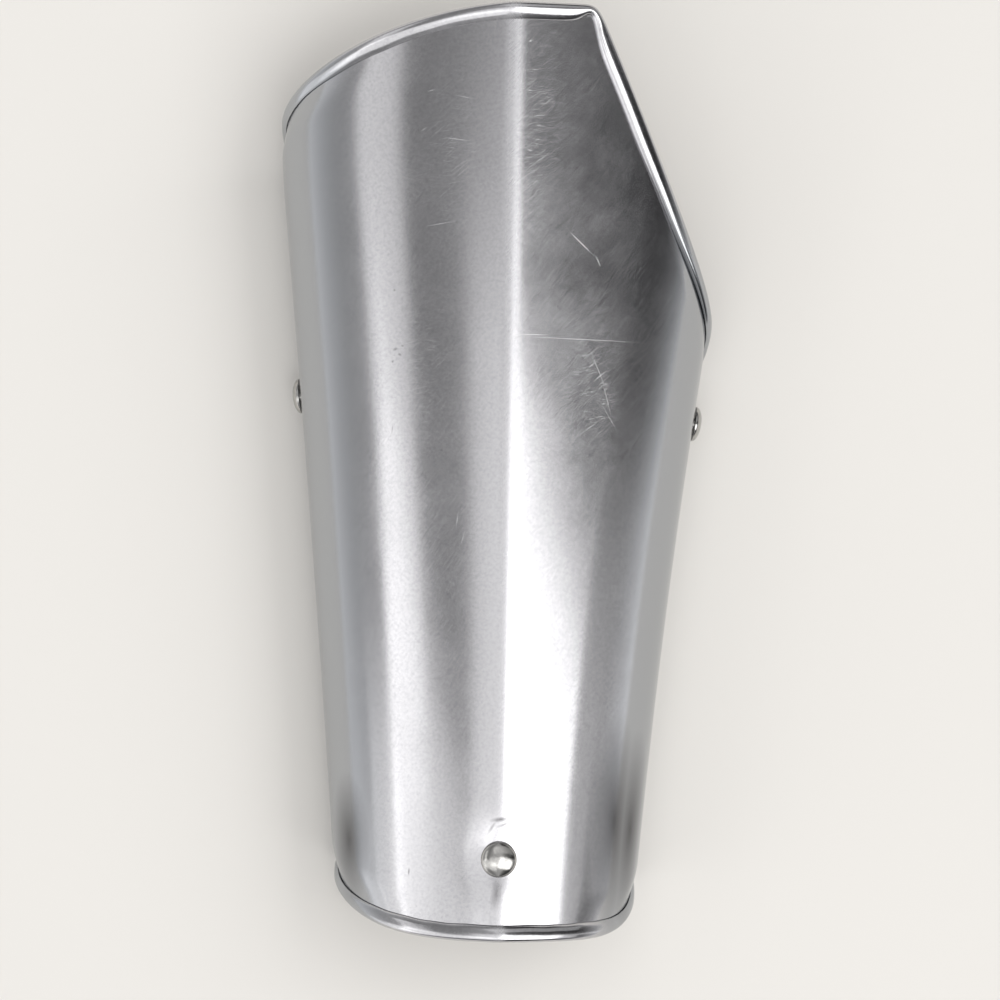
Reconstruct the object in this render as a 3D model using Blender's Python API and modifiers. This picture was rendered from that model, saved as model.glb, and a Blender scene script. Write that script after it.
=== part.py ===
"""Steel vambrace: a ridged half-shell for the forearm with rolled edges, three rivets and two straps.

Frame: metres, +Z up.  The shell lies open side down on z = 0, its ridge along Y, the wrist end at -Y and
the elbow end at +Y.  The origin is the middle of the shell's footprint.
"""
import math

import bmesh
import bpy
from mathutils import Vector

NAME = "vambrace"

# Driving dimensions
LENGTH = 0.2667                # wrist edge to elbow edge along the ridge, before the rolls
SHEET = 0.0012                 # plate thickness
WRIST_RIDGE_HEIGHT = 0.0470    # ridge above the ground at the wrist
ELBOW_RIDGE_HEIGHT = 0.0600
WRIST_SIDE_HEIGHT = 0.0150     # height of the widest line at the wrist
ELBOW_SIDE_HEIGHT = 0.0180
LEFT_WRIST_WIDTH = 0.0478      # ridge to the widest line, on the long side
RIGHT_WRIST_WIDTH = 0.0382     # the same on the side that the slant cuts
LEFT_TAPER = (0.0745, 0.06)    # growth of the half width: per metre, and per metre squared
RIGHT_TAPER = (0.0735, 0.215)
CREST_PHASE = math.radians(25)     # where the elliptic section starts, which sets how sharp the ridge is
CREST_RADIUS = 0.0024
LOWER_WALL_RADIUS = 0.072      # the side walls draw in a little below their widest line
PINCH = 0.0054                 # the long side draws in at the elbow corner
PINCH_LENGTH = 0.055

GIRTH_STATION = 0.230          # the section whose girth lays out the edges
SLANT_START = 0.0210           # girth from the ridge to the corner of the slant
SLANT_DROP = 0.1000            # how far the slant has dropped at the long edge
SLANT_EASE = 1.65
CORNER_RADIUS = 0.0007
LEFT_ELBOW_FALL = (0.06, 3.85)     # linear and quadratic fall of the elbow edge on the long side
LEFT_WRIST_FALL = (0.0280, 3.2)    # fall of the wrist edge over the whole girth, and its power
RIGHT_WRIST_FALL = (0.0300, 5.8)
WRIST_FALL_END = 0.87          # share of the girth past which the wrist edge runs straight down
WRIST_FALL_EASE = 0.025        # how softly it turns down there

ROLL_RADIUS = 0.0008           # fold radius at mid sheet
ROLL_LEG = 0.0036              # folded strip behind the fold
ROLL_LEG_SLOPE = math.radians(7)
ROLL_NOTCH = 0.0022            # the strip is cut back at the corner so that the two folds do not meet
ROLL_NOTCH_SPREAD = 0.0035
PRESS_DEPTH = 0.0016           # towards the long edges the rolls are hammered down flush with the walls
SLANT_PRESS_DEPTH = 0.0005     # the slant's roll stays a little proud
PRESS_REACH = 0.011            # run along the sheet over which the wall steps in
PRESS_START = 0.35             # shares of the girth where that begins and is complete
PRESS_END = 0.75

RIVET_HEAD_RADIUS = 0.0052
RIVET_HEAD_HEIGHT = 0.0025
RIVET_SHANK_RADIUS = 0.0020
RIVET_TAIL_RADIUS = 0.0034
RIVET_TAIL_HEIGHT = 0.0012
RIVET_TAIL_EDGE = 0.0007       # straight side of the tail, and the radius of its flat end
RIVET_TAIL_FLAT = 0.0024
HOLE_RADIUS = 0.0023
HEAD_EASE = 0.00025            # the flat underside of a head clears the curved sheet
GAP = 0.0003
WRIST_RIVET_STATION = 0.0225
WRIST_RIVET_GIRTH = 0.0012     # it sits a little off the ridge, on the long side
LEFT_RIVET_STATION = 0.1561
RIGHT_RIVET_STATION = 0.1497
SIDE_RIVET_DROP = 0.0075       # girth from the widest line down to the side rivets
SEAT_CREST_RADIUS = 0.0050     # the crest is hammered rounder under the wrist rivet
SEAT_REACH = 0.0085

STRAP_STATION = 0.1529         # the strap between the side rivets
STRAP_WIDTH = 0.016
STRAP_THICKNESS = 0.0024
STRAP_EASE = 0.0003
TAIL_EASE = 0.0006
STRAP_END = 0.003              # leather above the widest line
WALL_CONTACT = 0.010           # leather against the wall below it
STRAP_BEND = 0.006
STRAP_LEAN = 0.001             # how far the elbow straps lean in from the wall before the ground
WRIST_STRAP_LEAN = 0.003
BEND_STEPS = 3
BUCKLE_WIRE = 0.0012
BUCKLE_LENGTH = 0.018
BUCKLE_CORNER = 0.002
TONGUE_RISE = (0.016, 0.004)   # the tongue starts and ends its rise this far before the front bar
TONGUE_CROSS = 0.0015          # level stretch over the front bar
TONGUE_DOWN = 0.0065           # it is down again this far before the heel bar
PRONG_RADIUS = 0.0009
TONGUE_REACH = 0.017
CHAPE_FOLD = 0.012
CHAPE_RISE = 0.018             # the chape rises from the ground to the buckle over this run
STACK_HEIGHT = 0.0108          # tongue, folded chape, bar and chape over each other

COLUMNS_PER_SIDE = 27
INNER_COLUMNS = 7              # on the slanted side: ridge to corner, round the corner
CORNER_COLUMNS = 6
CORNER_SPREAD = 0.0028         # girth on each side of the corner that its columns take up
WALL_ROWS = 22
ROW_EASE = 0.09                # rows lie closer together near both edges
ROLL_ROWS = 7
DOME_STEPS = 5
TURN_STEPS = 20


def reset_scene():
    for item in list(bpy.data.objects):
        bpy.data.objects.remove(item, do_unlink=True)
    parts = bpy.data.collections.new(NAME)
    cutters = bpy.data.collections.new(NAME + "_cutters")
    for collection in (parts, cutters):
        bpy.context.scene.collection.children.link(collection)
    return parts, cutters


def material(name, colour, metallic, roughness):
    made = bpy.data.materials.new(name)
    made.use_nodes = True
    shader = made.node_tree.nodes["Principled BSDF"]
    shader.inputs["Base Color"].default_value = (*colour, 1.0)
    shader.inputs["Metallic"].default_value = metallic
    shader.inputs["Roughness"].default_value = roughness
    return made


def blend(low, high, share):
    return low + (high - low) * share


class Shell:
    """The bare surface: a point for a side, a girth share from the ridge and a station from the wrist."""

    def __init__(self):
        self.table = {side: self.girth_table(side) for side in (-1, 1)}

    def section(self, side, station):
        share = station / LENGTH
        ridge = blend(WRIST_RIDGE_HEIGHT, ELBOW_RIDGE_HEIGHT, share)
        height = blend(WRIST_SIDE_HEIGHT, ELBOW_SIDE_HEIGHT, share)
        base, taper = (LEFT_WRIST_WIDTH, LEFT_TAPER) if side < 0 else (RIGHT_WRIST_WIDTH, RIGHT_TAPER)
        width = base + taper[0] * station + taper[1] * station ** 2
        if side < 0:
            pinch = max(0.0, station - (LENGTH - PINCH_LENGTH)) / PINCH_LENGTH
            width -= PINCH * pinch ** 2
        across = width / (1 - math.sin(CREST_PHASE))
        rise = (ridge - height) / math.cos(CREST_PHASE)
        return across, rise, height

    def crest_slope(self, side, station):
        """Fall of a flank right beside the ridge; the rounded crest is as low on both flanks."""
        across, rise, _ = self.section(side, station)
        return rise / across * math.tan(CREST_PHASE)

    def profile(self, side, station, turn):
        """Point of the section at a turn that runs from 0 at the ridge over 1 at the widest line to 2."""
        across, rise, height = self.section(side, station)
        if turn <= 1:
            phase = blend(CREST_PHASE, math.pi / 2, turn)
            x = across * (math.sin(phase) - math.sin(CREST_PHASE))
            z = height + rise * math.cos(phase)
            slope = self.crest_slope(side, station)
            common = (self.crest_slope(-1, station) + self.crest_slope(1, station)) / 2
            seat = math.exp(-((station - WRIST_RIVET_STATION) ** 2 + x ** 2) / SEAT_REACH ** 2)
            radius = (CREST_RADIUS + SEAT_CREST_RADIUS * seat) * common / slope
            z -= slope * (math.hypot(x, radius) - x)
        else:
            lean = math.asin(height * (turn - 1) / LOWER_WALL_RADIUS)
            x = across * (1 - math.sin(CREST_PHASE)) - LOWER_WALL_RADIUS * (1 - math.cos(lean))
            z = height * (2 - turn)
        return x, z

    def girth_table(self, side):
        """Turns and the girth up to each, on the station that lays out the edges."""
        steps = 200
        turns = [2 * step / steps for step in range(steps + 1)]
        girths = [0.0]
        last = self.profile(side, GIRTH_STATION, 0)
        for turn in turns[1:]:
            point = self.profile(side, GIRTH_STATION, turn)
            girths.append(girths[-1] + math.dist(last, point))
            last = point
        return turns, girths

    def full_girth(self, side):
        return self.table[side][1][-1]

    def turn_at(self, side, girth):
        turns, girths = self.table[side]
        if girth >= girths[-1]:
            return 2.0
        index = next(i for i, value in enumerate(girths) if value > girth)
        share = (girth - girths[index - 1]) / (girths[index] - girths[index - 1])
        return blend(turns[index - 1], turns[index], share)

    def bare(self, side, girth, station):
        x, z = self.profile(side, station, self.turn_at(side, girth))
        return Vector((side * x, station, z))

    def normal(self, side, girth, station):
        """Outward direction, from the surface's own slopes."""
        step = 0.0004
        low, high = max(girth - step, 0.0), min(girth + step, self.full_girth(side))
        across = self.bare(side, high, station) - self.bare(side, low, station)
        along = self.bare(side, girth, station + step) - self.bare(side, girth, station - step)
        if girth < step:
            across = Vector((side, 0, 0))
        return (across.cross(along) * side).normalized()

    def point(self, side, girth, station):
        return self.bare(side, girth, station) - self.normal(side, girth, station) * press(side, girth, station)


def press(side, girth, station):
    """How far the wall has stepped in under a roll."""
    share = smooth((girth / SHELL.full_girth(side) - PRESS_START) / (PRESS_END - PRESS_START))
    elbow, wrist = elbow_station(side, girth) - station, station - wrist_station(side, girth)
    depth = SLANT_PRESS_DEPTH if side > 0 and elbow < wrist else PRESS_DEPTH
    return depth * share * smooth(1 - min(elbow, wrist) / PRESS_REACH)


def smooth(share):
    share = min(1.0, max(0.0, share))
    return share * share * (3 - 2 * share)


def elbow_station(side, girth):
    if side < 0:
        return LENGTH - LEFT_ELBOW_FALL[0] * girth - LEFT_ELBOW_FALL[1] * girth ** 2
    past = (girth - SLANT_START) / CORNER_RADIUS
    past = CORNER_RADIUS * (past if past > 30 else math.log1p(math.exp(past)))
    share = min(1.0, past / (SHELL.full_girth(1) - SLANT_START))
    return LENGTH - SLANT_DROP * (1 - (1 - share) ** SLANT_EASE)


def wrist_station(side, girth):
    fall, power = LEFT_WRIST_FALL if side < 0 else RIGHT_WRIST_FALL
    short = WRIST_FALL_END - girth / SHELL.full_girth(side)
    share = WRIST_FALL_END - WRIST_FALL_EASE * math.log1p(math.exp(short / WRIST_FALL_EASE))
    return fall * max(0.0, share) ** power


def column_girths(side):
    """Girths of the grid's columns from the ridge out, close together round the corner of the slant."""
    full = SHELL.full_girth(side)
    if side < 0:
        return [full * index / COLUMNS_PER_SIDE for index in range(COLUMNS_PER_SIDE + 1)]
    outer = COLUMNS_PER_SIDE - INNER_COLUMNS - CORNER_COLUMNS
    first, last = SLANT_START - CORNER_SPREAD, SLANT_START + CORNER_SPREAD
    girths = [first * index / INNER_COLUMNS for index in range(INNER_COLUMNS)]
    girths += [blend(first, last, index / CORNER_COLUMNS) for index in range(CORNER_COLUMNS)]
    return girths + [blend(last, full, index / outer) for index in range(outer + 1)]


def roll_profile(side, girth):
    """Steps of the outward fold from the edge: along the sheet, and out of it."""
    leg = ROLL_LEG
    if side > 0:
        leg -= ROLL_NOTCH * math.exp(-((girth - SLANT_START) / ROLL_NOTCH_SPREAD) ** 2)
    steps = []
    arc = ROLL_ROWS - 2
    for index in range(1, arc + 1):
        angle = (math.pi + ROLL_LEG_SLOPE) * index / arc
        steps.append((ROLL_RADIUS * math.sin(angle), ROLL_RADIUS * (1 - math.cos(angle))))
    run, rise = steps[-1]
    for share in (0.5, 1.0):
        steps.append((run - leg * share * math.cos(ROLL_LEG_SLOPE),
                      rise - leg * share * math.sin(ROLL_LEG_SLOPE)))
    return steps


def edge_frame(side, girth, edge, outwards):
    """Point on an edge, the direction off the sheet across that edge, and the outward normal."""
    step = 0.0003
    low, high = max(girth - step, 0.0), min(girth + step, SHELL.full_girth(side))
    place = SHELL.point(side, girth, edge(side, girth))
    tangent = SHELL.point(side, high, edge(side, high)) - SHELL.point(side, low, edge(side, low))
    station = edge(side, girth)
    up = (SHELL.point(side, girth, station + step) - SHELL.point(side, girth, station - step)).normalized()
    if girth < step:
        tangent = Vector((1, 0, 0))
    across = SHELL.point(side, high, station) - SHELL.point(side, low, station)
    if girth < step:
        across = Vector((side, 0, 0))
    normal = (across.cross(up) * side).normalized()
    off = normal.cross(tangent).normalized()
    if off.dot(up) * outwards < 0:
        off.negate()
    return place, off, normal


def plate_point(side, girth, row):
    """Grid point of a column: rows run from the wrist fold's free end over the wall to the elbow's."""
    if row < ROLL_ROWS:
        place, off, normal = edge_frame(side, girth, wrist_station, -1)
        run, rise = roll_profile(-1, girth)[ROLL_ROWS - 1 - row]
        return place + off * run + normal * rise
    if row > ROLL_ROWS + WALL_ROWS:
        place, off, normal = edge_frame(side, girth, elbow_station, 1)
        run, rise = roll_profile(side, girth)[row - ROLL_ROWS - WALL_ROWS - 1]
        return place + off * run + normal * rise
    share = (row - ROLL_ROWS) / WALL_ROWS
    share -= ROW_EASE * math.sin(2 * math.pi * share)
    return SHELL.point(side, girth, blend(wrist_station(side, girth), elbow_station(side, girth), share))


def build_plate(parts, cutters, steel):
    columns = [(-1, girth) for girth in reversed(column_girths(-1)[1:])]
    columns += [(1, girth) for girth in column_girths(1)]
    rows = WALL_ROWS + 2 * ROLL_ROWS
    grid = bmesh.new()
    bmesh.ops.create_grid(grid, x_segments=len(columns) - 1, y_segments=rows, size=0.5)
    for vertex in grid.verts:
        column = round((vertex.co.x + 0.5) * (len(columns) - 1))
        row = round((vertex.co.y + 0.5) * rows)
        side, girth = columns[column]
        vertex.co = plate_point(side, girth, row)
    bmesh.ops.recalc_face_normals(grid, faces=grid.faces)
    if sum((face.normal.z for face in grid.faces), 0.0) < 0:
        bmesh.ops.reverse_faces(grid, faces=grid.faces)
    mesh = bpy.data.meshes.new("plate")
    grid.to_mesh(mesh)
    grid.free()
    plate = bpy.data.objects.new("plate", mesh)
    parts.objects.link(plate)
    wall = plate.modifiers.new("sheet", "SOLIDIFY")
    wall.thickness = SHEET
    wall.offset = 0.0
    wall.use_even_offset = True
    solid = bpy.data.meshes.new_from_object(plate.evaluated_get(bpy.context.evaluated_depsgraph_get()))
    plate.modifiers.clear()
    plate.data = solid
    for vertex in solid.vertices:
        if vertex.co.z < 0.3 * SHEET:
            vertex.co.z = 0.0
    for place, axis in rivet_places():
        cutter = cylinder("hole", HOLE_RADIUS, 0.012, place, axis, cutters)
        hole = plate.modifiers.new("hole", "BOOLEAN")
        hole.operation = "DIFFERENCE"
        hole.object = cutter
    finish(plate, steel)
    return plate


def cylinder(name, radius, depth, place, axis, collection):
    round_bar = bmesh.new()
    bmesh.ops.create_cone(round_bar, cap_ends=True, segments=24, radius1=radius, radius2=radius, depth=depth)
    mesh = bpy.data.meshes.new(name)
    round_bar.to_mesh(mesh)
    round_bar.free()
    made = bpy.data.objects.new(name, mesh)
    made.location = place
    made.rotation_euler = Vector(axis).to_track_quat("Z", "Y").to_euler()
    made.hide_render = True
    made.display_type = "WIRE"
    collection.objects.link(made)
    return made


def finish(item, surface):
    item.data.materials.clear()
    item.data.materials.append(surface)
    item.data.shade_smooth()
    item.data.set_sharp_from_angle(angle=math.radians(35))


def rivet_places():
    """Centre of each hole at mid sheet, and the way its head faces."""
    spots = [(-1, WRIST_RIVET_GIRTH, WRIST_RIVET_STATION),
             (-1, widest_girth(-1) + SIDE_RIVET_DROP, LEFT_RIVET_STATION),
             (1, widest_girth(1) + SIDE_RIVET_DROP, RIGHT_RIVET_STATION)]
    return [(SHELL.point(*spot), SHELL.normal(*spot)) for spot in spots]


def build_rivet(parts, name, place, axis, stack, steel):
    """A domed head outside, a shank through sheet and leather, and a flat hammered tail inside."""
    under = SHEET / 2 + GAP + HEAD_EASE
    tail = -SHEET / 2 - stack
    outline = []
    for index in range(DOME_STEPS + 1):
        angle = math.pi / 2 * index / DOME_STEPS
        outline.append((RIVET_HEAD_RADIUS * math.sin(angle), under + RIVET_HEAD_HEIGHT * math.cos(angle)))
    outline += [(RIVET_SHANK_RADIUS, under), (RIVET_SHANK_RADIUS, tail), (RIVET_TAIL_RADIUS, tail),
                (RIVET_TAIL_RADIUS, tail - RIVET_TAIL_EDGE), (RIVET_TAIL_FLAT, tail - RIVET_TAIL_HEIGHT),
                (0.0, tail - RIVET_TAIL_HEIGHT)]
    profile = bpy.data.meshes.new(name)
    profile.from_pydata([(x, 0, z) for x, z in outline], [(i, i + 1) for i in range(len(outline) - 1)], [])
    rivet = bpy.data.objects.new(name, profile)
    rivet.location = place
    rivet.rotation_euler = Vector(axis).to_track_quat("Z", "Y").to_euler()
    parts.objects.link(rivet)
    turn = rivet.modifiers.new("turned", "SCREW")
    turn.steps = turn.render_steps = TURN_STEPS
    turn.use_merge_vertices = True
    turn.merge_threshold = GAP / 6
    finish(rivet, steel)
    return rivet


def rounded_route(corners, radius):
    """Points along straight runs with a soft bend at each inner corner."""
    route = [corners[0]]
    for before, corner, after in zip(corners, corners[1:], corners[2:]):
        back, ahead = (before - corner), (after - corner)
        start = corner + back.normalized() * min(radius, 0.45 * back.length)
        end = corner + ahead.normalized() * min(radius, 0.45 * ahead.length)
        for index in range(BEND_STEPS + 1):
            share = index / BEND_STEPS
            route.append(start * (1 - share) ** 2 + corner * 2 * share * (1 - share) + end * share ** 2)
    route.append(corners[-1])
    return route


def wall_run(side, station, start, stop, steps):
    """Mid line of a strap that lies against the inside of the plate, between two girths."""
    depth = SHEET / 2 + GAP + STRAP_THICKNESS / 2 + STRAP_EASE
    points = []
    for index in range(steps + 1):
        girth = blend(start, stop, index / steps)
        points.append(SHELL.point(side, girth, station) - SHELL.normal(side, girth, station) * depth)
    return points


def widest_girth(side):
    turns, girths = SHELL.table[side]
    return girths[len(turns) // 2]


def tongue_run(station):
    """From the floor over the front bar, down through the frame, and along the floor to the tip."""
    floor, top = STRAP_THICKNESS / 2, STACK_HEIGHT - STRAP_THICKNESS / 2
    half = BUCKLE_LENGTH / 2
    spots = [(-half - TONGUE_RISE[0], floor), (-half - TONGUE_RISE[1], top), (-half + TONGUE_CROSS, top),
             (half - TONGUE_DOWN, floor), (half + TONGUE_REACH, floor)]
    return [Vector((x, station, z)) for x, z in spots]


def chape_run(station):
    """From above the floor to the heel bar, round it, and back on its outer side."""
    top = STACK_HEIGHT - STRAP_THICKNESS / 2
    radius = BUCKLE_WIRE + GAP + STRAP_THICKNESS / 2
    centre = Vector((BUCKLE_LENGTH / 2, station, top - radius))
    steps = 8
    points = []
    for index in range(steps + 1):
        angle = math.pi / 2 + math.pi * index / steps
        points.append(centre + Vector((math.cos(angle), 0, math.sin(angle))) * radius)
    points.append(centre + Vector((CHAPE_FOLD, 0, -radius)))
    return points


def elbow_tongue(station):
    reach = widest_girth(-1)
    wall = wall_run(-1, station, reach - STRAP_END, reach + WALL_CONTACT, 5)
    corner = Vector((wall[-1].x + STRAP_LEAN, station, STRAP_THICKNESS / 2))
    tail = tongue_run(station)
    return wall[:-1] + rounded_route([wall[-1], corner] + tail, STRAP_BEND)


def elbow_chape(station):
    reach = widest_girth(1)
    wall = wall_run(1, station, reach - STRAP_END, reach + WALL_CONTACT, 5)
    chape = chape_run(station)
    floor = STRAP_THICKNESS / 2
    corner = Vector((wall[-1].x - STRAP_LEAN, station, floor))
    rise = Vector((chape[-1].x + CHAPE_RISE, station, floor))
    crest = Vector((chape[-1].x + CHAPE_FOLD / 2, station, chape[0].z))
    return wall[:-1] + rounded_route([wall[-1], corner, rise, crest, chape[0]], STRAP_BEND) + chape[1:]


def wrist_band(station):
    """One band: from its tip through the buckle, up inside the plate, over the rivet and down again."""
    left = wall_run(-1, station, widest_girth(-1) + WALL_CONTACT * 0.6, 0.004, 14)
    right = wall_run(1, station, 0.004, widest_girth(1), 14)
    tail = list(reversed(tongue_run(station)))
    corner = Vector((left[0].x + WRIST_STRAP_LEAN, station, STRAP_THICKNESS / 2))
    chape = chape_run(station)
    turn = Vector((right[-1].x - WRIST_STRAP_LEAN, station, chape[0].z))
    start = rounded_route(tail + [corner, left[0]], STRAP_BEND)
    end = rounded_route([right[-1], turn, chape[0]], STRAP_BEND)
    crest = (left[-1] + right[0]) / 2
    return start + left[1:] + [crest] + right[:-1] + end + chape[1:]


def build_strap(parts, name, route, station, leather, cutters, holes):
    """A flat band whose mid line is worked out at both of its edges."""
    lines = [route(station + STRAP_WIDTH * share) for share in (-0.5, 0.5)]
    rows = len(lines[0]) - 1
    band = bmesh.new()
    bmesh.ops.create_grid(band, x_segments=1, y_segments=rows, size=0.5)
    for vertex in band.verts:
        column = round(vertex.co.x + 0.5)
        row = round((vertex.co.y + 0.5) * rows)
        vertex.co = lines[column][row]
    mesh = bpy.data.meshes.new(name)
    band.to_mesh(mesh)
    band.free()
    strap = bpy.data.objects.new(name, mesh)
    parts.objects.link(strap)
    wall = strap.modifiers.new("leather", "SOLIDIFY")
    wall.thickness = STRAP_THICKNESS
    wall.offset = 0.0
    wall.use_even_offset = True
    for radius, place, axis, depth in holes:
        cutter = cylinder(name + "_hole", radius, depth, place, axis, cutters)
        punched = strap.modifiers.new("hole", "BOOLEAN")
        punched.operation = "DIFFERENCE"
        punched.object = cutter
    finish(strap, leather)
    return strap


def buckle_centre(station):
    bar = STACK_HEIGHT - STRAP_THICKNESS - GAP - BUCKLE_WIRE
    return Vector((0, station, bar))


def build_buckle(parts, name, station, steel, cutters):
    """A wire frame and its prong in one piece."""
    half = Vector((BUCKLE_LENGTH / 2, STRAP_WIDTH / 2 + 2 * BUCKLE_WIRE, 0))
    outline = bpy.data.curves.new(name, "CURVE")
    outline.dimensions = "3D"
    outline.bevel_depth = BUCKLE_WIRE
    outline.bevel_resolution = 1
    spline = outline.splines.new("POLY")
    corners = [Vector((x * half.x, y * half.y, 0)) for x, y in ((0, -1), (1, -1), (1, 1), (-1, 1), (-1, -1))]
    route = rounded_route(corners + [corners[0]], BUCKLE_CORNER)[:-1]
    spline.points.add(len(route) - 1)
    for point, place in zip(spline.points, route):
        point.co = (*place, 1.0)
    spline.use_cyclic_u = True
    wire = bpy.data.objects.new(name, outline)
    parts.objects.link(wire)
    solid = bpy.data.meshes.new_from_object(wire.evaluated_get(bpy.context.evaluated_depsgraph_get()))
    bpy.data.objects.remove(wire)
    frame = bpy.data.objects.new(name, solid)
    frame.location = buckle_centre(station)
    parts.objects.link(frame)
    prong = cylinder(name + "_prong", PRONG_RADIUS, BUCKLE_LENGTH, frame.location, (1, 0, 0), cutters)
    joined = frame.modifiers.new("prong", "BOOLEAN")
    joined.operation = "UNION"
    joined.object = prong
    finish(frame, steel)
    return frame


SHELL = Shell()


def centre_on_origin(parts, cutters):
    """Moves everything so that the middle of the plate's footprint is the origin."""
    corners = [Vector(corner) for corner in parts.objects["plate"].bound_box]
    middle = sum(corners, Vector()) / len(corners)
    for item in list(parts.objects) + list(cutters.objects):
        item.location -= Vector((middle.x, middle.y, 0))


def main():
    parts, cutters = reset_scene()
    steel = material("polished_mild_steel", (0.62, 0.61, 0.60), 1.0, 0.22)
    build_plate(parts, cutters, steel)
    for name, (place, axis) in zip(("wrist_rivet", "left_rivet", "right_rivet"), rivet_places()):
        build_rivet(parts, name, place, axis, 2 * GAP + STRAP_THICKNESS + STRAP_EASE + TAIL_EASE, steel)
    leather = material("oiled_brown_leather", (0.075, 0.035, 0.016), 0.0, 0.55)
    wrist, left, right = [(HOLE_RADIUS, place, axis, 0.012) for place, axis in rivet_places()]
    prong_holes = [(PRONG_RADIUS + GAP, buckle_centre(station), Vector((1, 0, 0)), BUCKLE_LENGTH)
                   for station in (STRAP_STATION, WRIST_RIVET_STATION)]
    build_strap(parts, "elbow_strap", elbow_tongue, STRAP_STATION, leather, cutters, [left, prong_holes[0]])
    build_strap(parts, "elbow_buckle_strap", elbow_chape, STRAP_STATION, leather, cutters,
                [right, prong_holes[0]])
    build_strap(parts, "wrist_strap", wrist_band, WRIST_RIVET_STATION, leather, cutters,
                [wrist, prong_holes[1]])
    build_buckle(parts, "elbow_buckle", STRAP_STATION, steel, cutters)
    build_buckle(parts, "wrist_buckle", WRIST_RIVET_STATION, steel, cutters)
    centre_on_origin(parts, cutters)


main()
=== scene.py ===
"""A polished steel vambrace lying open side down on a pale table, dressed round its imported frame."""

import logging
import math
from bisect import bisect_right
from dataclasses import dataclass, field
from enum import Enum
from typing import Callable, Sequence

import bmesh
import bpy
from bmesh.types import BMesh
from bpy.types import Material, Mesh, Node, NodeSocket, NodeTree, Object, VertexGroup
from mathutils import Matrix, Vector, noise


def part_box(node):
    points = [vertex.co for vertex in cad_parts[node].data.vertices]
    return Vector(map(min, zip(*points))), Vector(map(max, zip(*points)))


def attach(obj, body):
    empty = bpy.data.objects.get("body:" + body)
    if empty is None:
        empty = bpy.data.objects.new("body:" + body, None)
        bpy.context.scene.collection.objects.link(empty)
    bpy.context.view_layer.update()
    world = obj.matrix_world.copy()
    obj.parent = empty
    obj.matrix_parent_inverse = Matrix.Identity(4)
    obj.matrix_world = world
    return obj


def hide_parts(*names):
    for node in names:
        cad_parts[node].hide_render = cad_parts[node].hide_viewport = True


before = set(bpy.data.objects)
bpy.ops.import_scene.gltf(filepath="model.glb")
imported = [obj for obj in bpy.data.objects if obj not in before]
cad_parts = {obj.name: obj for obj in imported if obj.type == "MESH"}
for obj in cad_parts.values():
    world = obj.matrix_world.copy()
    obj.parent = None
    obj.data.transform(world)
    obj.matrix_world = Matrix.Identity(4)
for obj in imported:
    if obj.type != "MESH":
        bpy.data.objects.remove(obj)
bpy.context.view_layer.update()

LOG = logging.getLogger("vambrace")
MM = 0.001
SHARP_BEVEL = math.radians(60)  # edges sharper than this are dressed round
SHARP_STEEL = math.radians(50)  # and in steel, edges sharper than this are shaded sharp
WELD = 0.001 * MM
BEND_SHARE = 0.45               # most of a straight run that a bend may take up
BEND_STEPS = 8
SRGB_KNEE = 0.04045
SOFT_BEND_END = 30.0            # beyond this the soft bend is flat to the last digit
RIVET_STATION = 22.5 * MM       # of the wrist rivet, from the wrist edge
RIVET_OFFSET = 1.2 * MM         # how far it sits off the ridge
HEAD_LEAN = (0.28 * MM, -0.08 * MM)      # how far the middle of the leaning rivet lies off its seat
SIDE_RIVET_DROP = 7.5 * MM      # girth from the widest line down to the side rivets
LEFT_RIVET_STATION = 156.1 * MM
RIGHT_RIVET_STATION = 149.7 * MM
ELBOW_STRAP_STATION = 152.9 * MM


# ---- Small helpers ----

def blend(low: float, high: float, share: float) -> float:
    """Straight blend from low to high."""
    return low + (high - low) * share


def smooth(share: float) -> float:
    """Eases a share, held between nought and one, in and out."""
    share = min(1.0, max(0.0, share))
    return share * share * (3 - 2 * share)


def softened(value: float) -> float:
    """Nought for a low value and the value itself for a high one, with a soft bend at nought."""
    return value if value > SOFT_BEND_END else math.log1p(math.exp(value))


def linear(hex_colour: str) -> tuple[float, float, float, float]:
    """Turns an sRGB hex value into a linear colour.

    Args:
        hex_colour: six hexadecimal digits.

    Returns:
        Red, green, blue and an alpha of one.
    """
    values = [int(hex_colour[start:start + 2], 16) / 255 for start in (0, 2, 4)]
    channels = [value / 12.92 if value <= SRGB_KNEE else ((value + 0.055) / 1.055) ** 2.4 for value in values]
    return (*channels, 1.0)


def add_node(tree: NodeTree, kind: str, settings: dict | None = None,
             links: dict | None = None, **values: object) -> Node:
    """Adds one node to a tree.

    Args:
        tree: the material's node tree.
        kind: the node's type name, without the leading ShaderNode.
        settings: properties of the node, by name.
        links: sockets that feed the node's inputs, by input name or index.
        values: plain input values; an underscore stands for a space in the input's name.

    Returns:
        The new node.
    """
    node = tree.nodes.new("ShaderNode" + kind)
    for name, value in (settings or {}).items():
        setattr(node, name, value)
    for name, value in values.items():
        node.inputs[name.replace("_", " ")].default_value = value
    for name, socket in (links or {}).items():
        tree.links.new(socket, node.inputs[name])
    return node


def noise_field(tree: NodeTree, place: NodeSocket, size: float, detail: float,
                roughness: float = 0.5) -> NodeSocket:
    """Smooth noise with blobs of a given size."""
    return add_node(tree, "TexNoise", links={"Vector": place}, Scale=1 / size, Detail=detail,
                    Roughness=roughness).outputs["Fac"]


def ranged(tree: NodeTree, source: NodeSocket, start: float, end: float,
           low: float = 0.0, high: float = 1.0, eased: bool = False) -> NodeSocket:
    """Maps a value between start and end to one between low and high, held at both."""
    settings = {"interpolation_type": "SMOOTHSTEP"} if eased else None
    return add_node(tree, "MapRange", settings, {"Value": source}, From_Min=start, From_Max=end,
                    To_Min=low, To_Max=high).outputs[0]


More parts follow.
